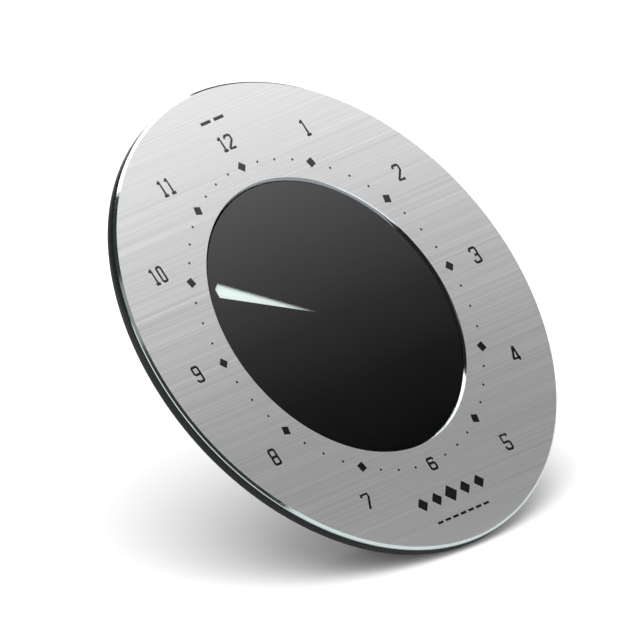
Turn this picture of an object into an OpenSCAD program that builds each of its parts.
// Electronic parking disc: a flat round dial that is bonded to the inside of a windscreen.
// The model's origin is the centre of the dial's front face. +X points to 3 o'clock, +Z to
// 12 o'clock, and +Y runs back into the disc, away from the windscreen. Sizes are in mm.

/* [Part] */
// Which sub-part to draw

/* [Dial] */
// Outside diameter of the dial
dial_d = 90; // [88:1:94]
// Diameter of the window cut in the dial ring
window_d = 52; // [51.6:0.1:52.2]
// Thickness of the steel dial ring
ring_t = 0.6; // [0.55:0.05:0.6]
// Width of the polished chamfer on both edges of the dial ring
ring_chamfer = 0.5; // [0.3:0.05:0.5]
// Depth at which the black rim ends behind the dial
rim_back = 2.6; // [2.6:0.1:3]

/* [Display] */
// Depth of the window's face below the dial
lens_face = 0.35; // [0.2:0.05:0.4]
// Clock angle of the lit hand, clockwise from 12 o'clock
hand_angle = 300; // [0:7.5:352.5]
// Width of the lit hand at its shoulders
hand_w = 2.9; // [2:0.1:3.6]
// Radius of the lit hand's outer point
hand_tip_r = 24.7; // [22:0.1:24.7]

/* [Rear] */
// Outside radius of the rear housing
case_r = 35; // [35:0.1:35.4]
// Rounding of the rear housing's back edge
case_round = 2; // [1:0.1:2]
// Radius of the push buttons
button_r = 3; // [2.6:0.1:3.1]
// Clear height of the push buttons above the back face
button_rise = 0.4; // [0.3:0.1:0.5]

/* [Hidden] */
$fn = 96;

dial_r = dial_d / 2;
window_r = window_d / 2;
// Depths below the dial's front face, from front to back.
tape_back = 0.7;
polariser_back = 0.8;
front_glass_back = 1.1;
hand_near = 1.13;
hand_far = 1.18;
rear_glass_near = 1.22;
rear_glass_back = 1.52;
reflector_back = 1.65;
holder_back = 2.5;
board_near = 4.2;
board_back = 5;
seal_back = rim_back + 0.15;
boss_back = 8;
wall_near = 11;
back_face = 12.2;

rim_chamfer = 0.5;
frame_bore_r = 28.3;
glass_r = 28;
// Half the height of the rear glass, cut flat to leave the front glass's contact ledges clear.
glass_flat = 25.9;
lens_r = window_r - 0.1;
lens_chamfer = 0.25;
hand_layer_r = 25.2;
hand_root_r = 2.9;
hand_shoulder_r = hand_tip_r - 0.7;

screw_circle_r = 30.6;
boss_r = 2.1;
column_r = 3.5;
screw_r = 1;
screw_head_r = 1.9;
screw_head_back = 10.4;
counterbore_r = 2.2;
counterbore_near = 9.3;

board_r = 28.1;
board_screw_x = 23.5;
board_screw_y = 8.6;
board_screw_r = 0.8;

button_y = 4.6;
button_step = 10;
button_gap = 0.3;
plunger_r = 1.2;
plunger_back = 9.3;

rear_view_y = 15.5;
rear_ledge = 11.4;
chip_y = 16.4;
case_wall = 1.5;

cell_y = -15;
cell_r = 12.25;
cell_near = 5.7;
cell_back = 10.3;
well_r = 15.6;
lug_r = 13.9;
lug_near = 10.45;
lug_back = 10.95;
door_hub_r = 12.9;
door_cap_r = 14.4;
door_ledge_back = 11.4;
door_cap_near = 11.7;

steel = [0.76, 0.77, 0.78];
black = [0.07, 0.07, 0.08];
clear = [0.75, 0.85, 0.88, 0.35];
green = [0.07, 0.3, 0.18];
gold = [0.8, 0.66, 0.36];
pink = [0.85, 0.55, 0.6];

// Stands a part that is drawn as seen from the front upright, so that it faces -Y.
module as_seen() {
    rotate([90, 0, 0]) children();
}

// A flat piece between two depths, from its outline as seen from the front.
module plate(near, far) {
    translate([0, 0, -far]) linear_extrude(height = far - near) children();
}

module ring_outline(outer_r, inner_r) {
    difference() {
        circle(r = outer_r);
        circle(r = inner_r);
    }
}

module at_housing_screws() {
    for (a = [45, 135, 225, 315])
        rotate([0, 0, a]) translate([screw_circle_r, 0, 0]) children();
}

module at_board_screws() {
    for (x = [-board_screw_x, board_screw_x])
        for (y = [-board_screw_y, board_screw_y])
            translate([x, y, 0]) children();
}

// The dial's face plate: a flat ring with both front edges chamfered.
module dial_ring() {
    color(steel) as_seen() rotate_extrude() polygon([
        [window_r, -ring_t], [window_r, -ring_chamfer], [window_r + ring_chamfer, 0],
        [dial_r - ring_chamfer, 0], [dial_r, -ring_chamfer], [dial_r, -ring_t]]);
}

// Double-sided film that bonds the dial ring to the frame and to the display behind it.
module ring_tape() {
    color(black) as_seen() plate(ring_t, tape_back) ring_outline(dial_r - 0.6, window_r + 0.2);
}

// The black rim: a ring with a chamfered back edge, and bosses for the housing screws.
module front_frame() {
    color(black) as_seen() difference() {
        union() {
            rotate_extrude() polygon([
                [frame_bore_r, -tape_back], [dial_r, -tape_back],
                [dial_r, -(rim_back - rim_chamfer)], [dial_r - rim_chamfer, -rim_back],
                [frame_bore_r, -rim_back]]);
            at_housing_screws() plate(rim_back - 0.2, boss_back) circle(r = boss_r);
        }
        at_housing_screws() plate(3.4, boss_back + 1) circle(r = screw_r);
    }
}

// The clear window, laid on the display, with a small chamfer around its face.
module window_lens() {
    color(clear) as_seen() rotate_extrude() polygon([
        [0, -lens_face], [lens_r - lens_chamfer, -lens_face],
        [lens_r, -(lens_face + lens_chamfer)], [lens_r, -tape_back], [0, -tape_back]]);
}

module front_polariser() {
    color(black) as_seen() plate(tape_back, polariser_back) circle(r = glass_r - 0.2);
}

module lcd_front_glass() {
    color(clear) as_seen() plate(polariser_back, front_glass_back) circle(r = glass_r);
}

// Outline of the rear glass and of what is behind it.
module flat_sided_outline(r, half_height) {
    intersection() {
        circle(r = r);
        square([2 * r + 2, 2 * half_height], center = true);
    }
}

// The black edge seal that keeps the two glasses apart.
module lcd_seal() {
    color(black) as_seen() plate(front_glass_back, rear_glass_near) difference() {
        flat_sided_outline(glass_r - 0.3, glass_flat);
        circle(r = hand_layer_r + 0.3);
    }
}

// The switched film between the glasses: dark all over, but open where the hand is lit.
module hand_layer() {
    color(black) as_seen() plate(hand_near, hand_far) difference() {
        circle(r = hand_layer_r);
        rotate([0, 0, -hand_angle]) polygon([
            [0, hand_root_r], [hand_w / 2, hand_shoulder_r], [0, hand_tip_r],
            [-hand_w / 2, hand_shoulder_r]]);
    }
}

module lcd_rear_glass() {
    color(clear) as_seen() plate(rear_glass_near, rear_glass_back)
        flat_sided_outline(glass_r, glass_flat);
}

// The pale sheet seen through the lit hand.
module reflector() {
    color([0.8, 0.87, 0.85]) as_seen() plate(rear_glass_back, reflector_back)
        flat_sided_outline(glass_r - 0.4, glass_flat - 0.4);
}

// Slot for one rubber connector, above (side = 1) or below (side = -1) the display.
module connector_outline(side, spare) {
    translate([0, side * 26.75]) square([11 + 2 * spare, 1.2 + 2 * spare], center = true);
}

// Backs the display and carries the circuit board on four posts.
module lcd_holder() {
    color([0.85, 0.85, 0.83]) as_seen() difference() {
        union() {
            plate(reflector_back, holder_back) difference() {
                circle(r = glass_r + 0.2);
                connector_outline(1, 0.1);
                connector_outline(-1, 0.1);
            }
            at_board_screws() plate(holder_back - 0.2, board_near) circle(r = 1.9);
        }
        at_board_screws() plate(2, board_near + 1) circle(r = board_screw_r);
    }
}

module connector_upper() {
    color(pink) as_seen() plate(front_glass_back, board_near) connector_outline(1, 0);
}

module connector_lower() {
    color(pink) as_seen() plate(front_glass_back, board_near) connector_outline(-1, 0);
}

module main_board() {
    color(green) as_seen() plate(board_near, board_back) difference() {
        circle(r = board_r);
        at_board_screws() circle(r = board_screw_r + 0.1);
    }
}

// A square chip with a row of leads on each side.
module microcontroller() {
    color(black) as_seen() translate([0, chip_y, 0]) {
        plate(board_back + 0.1, board_back + 1.1) square(7, center = true);
        for (a = [0, 90, 180, 270])
            rotate([0, 0, a])
                for (i = [-3.5:1:3.5])
                    translate([i * 0.8, 3.9, 0]) plate(board_back, board_back + 0.4)
                        square([0.35, 1], center = true);
    }
}

module clock_crystal() {
    color(steel) as_seen() translate([-18.5, 6.5, -(board_back + 1)]) rotate([90, 0, 0])
        cylinder(h = 6, r = 1);
}

// A tilt and shake sensor in a small can on a square base.
module motion_sensor() {
    color(gold) as_seen() translate([18, 3.5, 0]) {
        plate(board_back, board_back + 0.5) square([4, 6], center = true);
        plate(board_back + 0.4, board_back + 2.6) circle(r = 1.7);
    }
}

// Chip capacitors and resistors, soldered flat to the board.
module capacitors() {
    color(gold) as_seen()
        for (spot = [[-21, 14], [-18, 14], [21, 14], [18, 14], [-20, -4], [20, -3.2], [17.5, 10]])
            translate(spot) plate(board_back, board_back + 0.7) square([1.6, 0.8], center = true);
}

module board_screws() {
    color(steel) as_seen() at_board_screws() {
        plate(2.2, board_back + 0.3) circle(r = board_screw_r);
        difference() {
            plate(board_back, board_back + 0.9) circle(r = 1.5);
            plate(board_back + 0.5, board_back + 1) square([2, 0.4], center = true);
            plate(board_back + 0.5, board_back + 1) square([0.4, 2], center = true);
        }
    }
}

module at_button(index) {
    translate([index * button_step, button_y, 0]) children();
}

// The three click switches that the push buttons work.
module switch_bodies() {
    color(black) as_seen() for (index = [-1, 0, 1])
        at_button(index) difference() {
            plate(board_back, 8.3) square(6, center = true);
            plate(7, 9) circle(r = plunger_r + button_gap);
        }
}

module plunger(index) {
    color(gold) as_seen() at_button(index) plate(7.6, plunger_back) circle(r = plunger_r);
}

module plunger_left() {
    plunger(-1);
}

module plunger_centre() {
    plunger(0);
}

module plunger_right() {
    plunger(1);
}

// A push button: a cap, a flange that holds it behind the wall, and a stem to its switch.
module button(index) {
    color([0.3, 0.31, 0.33]) as_seen() at_button(index) {
        plate(plunger_back, 10.5) circle(r = 1.5);
        plate(10.4, wall_near - 0.1) circle(r = button_r + 0.7);
        plate(wall_near - 0.2, back_face + button_rise) circle(r = button_r);
    }
}

module button_left() {
    button(-1);
}

module button_centre() {
    button(0);
}

module button_right() {
    button(1);
}

// A flat piece of the driver's display, centred on its opening.
module rear_plate(near, far, width, low, high) {
    as_seen() plate(near, far) translate([-width / 2, rear_view_y + low])
        square([width, high - low]);
}

module rear_window() {
    color(clear) rear_plate(rear_ledge + 0.1, back_face - 0.05, 26.6, -5.8, 5.8);
}

module rear_window_tape() {
    color(black) difference() {
        rear_plate(rear_ledge, rear_ledge + 0.1, 26.6, -5.8, 5.8);
        rear_plate(11, 12, 24, -4.5, 4.5);
    }
}

module rear_lcd_front_glass() {
    color(clear) rear_plate(10.45, 10.95, 28, -6, 6);
}

module rear_lcd_rear_glass() {
    color(clear) rear_plate(9.95, 10.45, 28, -3.7, 6);
}

module rear_reflector() {
    color([0.8, 0.87, 0.85]) rear_plate(9.85, 9.95, 27.6, -3.6, 5.9);
}

// The box that holds the driver's display off the board.
module rear_lcd_holder() {
    color([0.85, 0.85, 0.83]) difference() {
        rear_plate(board_back, 10.9, 30.4, -6.8, 6.8);
        rear_plate(board_back - 1, 12, 26, -6, 5.5);
        rear_plate(9.85, 12, 28.1, -6.05, 6.05);
    }
}

module rear_connector() {
    color(pink) rear_plate(board_back, 10.45, 24, -5.9, -3.9);
}

module at_cell() {
    as_seen() translate([0, cell_y, 0]) children();
}

// The coin cell's can, with the groove that takes its gasket.
module cell_can() {
    color(steel) at_cell() difference() {
        plate(cell_near, cell_back) circle(r = cell_r);
        plate(cell_near - 1, cell_near + 0.6) circle(r = cell_r - 0.3);
    }
}

module cell_gasket() {
    color(black) at_cell() plate(cell_near - 0.1, cell_near + 0.6)
        ring_outline(cell_r - 0.3, cell_r - 1.1);
}

module cell_cap() {
    color(steel) at_cell() plate(board_back + 0.3, cell_near + 0.6) circle(r = cell_r - 1.1);
}

// A spring star under the cell.
module contact_negative() {
    color(gold) at_cell() plate(board_back, board_back + 0.3) {
        circle(r = 3);
        for (a = [0, 60, 120])
            rotate([0, 0, a]) square([17, 2.4], center = true);
    }
}

// An angle strip that stands on the board and touches the side of the cell.
module contact_positive() {
    color(gold) at_cell() {
        plate(board_back, board_back + 0.3) translate([cell_r + 0.02, -2]) square([5, 4]);
        plate(board_back, 9.3) translate([cell_r + 0.02, -2]) square([0.4, 4]);
    }
}

// The rounded tub without its openings.
module case_outer() {
    corner_r = case_r - case_round;
    corner_back = back_face - case_round;
    rotate_extrude() {
        translate([0, -back_face]) square([corner_r, back_face - seal_back]);
        translate([0, -corner_back]) square([case_r, corner_back - seal_back]);
        intersection() {
            translate([corner_r, -corner_back]) circle(r = case_round);
            translate([corner_r, -back_face]) square(case_round);
        }
    }
}

module rear_housing() {
    color([0.12, 0.12, 0.13]) as_seen() difference() {
        union() {
            difference() {
                case_outer();
                plate(seal_back - 1, wall_near) circle(r = case_r - case_wall);
            }
            at_housing_screws() plate(boss_back + 0.05, wall_near + 0.1) circle(r = column_r);
            translate([0, cell_y, 0]) plate(6.2, wall_near + 0.1) circle(r = well_r);
        }
        at_housing_screws() {
            plate(boss_back - 1, back_face + 1) circle(r = screw_r + 0.15);
            plate(counterbore_near, back_face + 1) circle(r = counterbore_r);
        }
        for (index = [-1, 0, 1])
            at_button(index) plate(wall_near - 1, back_face + 1) circle(r = button_r + button_gap);
        translate([0, rear_view_y, 0]) {
            plate(wall_near - 1, back_face + 1) square([24, 9], center = true);
            plate(rear_ledge, back_face + 1) square([27, 12], center = true);
        }
        translate([0, cell_y, 0]) {
            plate(5, cell_back + 0.1) circle(r = cell_r + 0.35);
            plate(cell_back, wall_near) circle(r = lug_r + 0.5);
            plate(wall_near - 0.1, back_face + 1) circle(r = door_hub_r + 0.3);
            plate(door_ledge_back, back_face + 1) circle(r = door_cap_r + 0.3);
            lug_outline_cut();
            plate(5, 9.6) translate([cell_r - 0.5, -2.6]) square([4.5, 5.2]);
        }
    }
}

// The three notches that let the door's lugs through once it has been turned to open.
module lug_outline_cut() {
    plate(wall_near - 0.1, back_face) for (a = [60, 180, 300])
        rotate([0, 0, a]) intersection() {
            circle(r = lug_r + 0.3);
            translate([0, -3.6]) square([20, 7.2]);
        }
}

module housing_seal() {
    color([0.2, 0.2, 0.2]) as_seen() plate(rim_back, seal_back)
        ring_outline(case_r - 0.1, case_r - case_wall + 0.1);
}

// Cross-head screws, sunk in the back of the housing.
module housing_screws() {
    color(steel) as_seen() at_housing_screws() difference() {
        union() {
            plate(3.6, counterbore_near + 0.2) circle(r = screw_r);
            plate(counterbore_near, screw_head_back) circle(r = screw_head_r);
        }
        plate(screw_head_back - 0.7, screw_head_back + 1) square([2.4, 0.5], center = true);
        plate(screw_head_back - 0.7, screw_head_back + 1) square([0.5, 2.4], center = true);
    }
}

// The coin-slot battery door: a cap, a hub, and three lugs that lock under the housing.
module battery_door() {
    color([0.12, 0.12, 0.13]) at_cell() difference() {
        union() {
            plate(lug_near, back_face) circle(r = door_hub_r);
            plate(door_cap_near, back_face) circle(r = door_cap_r);
            for (a = [0, 120, 240])
                rotate([0, 0, a]) plate(lug_near, lug_back) intersection() {
                    circle(r = lug_r);
                    translate([0, -3]) square([20, 6]);
                }
        }
        plate(back_face - 0.8, back_face + 1) square([16, 1.8], center = true);
    }
}

// A flat rubber ring under the door's cap.
module door_seal() {
    color([0.2, 0.2, 0.2]) at_cell() plate(door_ledge_back + 0.03, door_cap_near)
        ring_outline(door_cap_r - 0.1, door_hub_r);
}

dial_ring();
ring_tape();
front_frame();
window_lens();
front_polariser();
lcd_front_glass();
lcd_seal();
hand_layer();
lcd_rear_glass();
reflector();
lcd_holder();
connector_upper();
connector_lower();
main_board();
microcontroller();
clock_crystal();
motion_sensor();
capacitors();
board_screws();
switch_bodies();
plunger_left();
plunger_centre();
plunger_right();
button_left();
button_centre();
button_right();
rear_window();
rear_window_tape();
rear_lcd_front_glass();
rear_lcd_rear_glass();
rear_reflector();
rear_lcd_holder();
rear_connector();
cell_can();
cell_gasket();
cell_cap();
contact_negative();
contact_positive();
rear_housing();
housing_seal();
housing_screws();
battery_door();
door_seal();
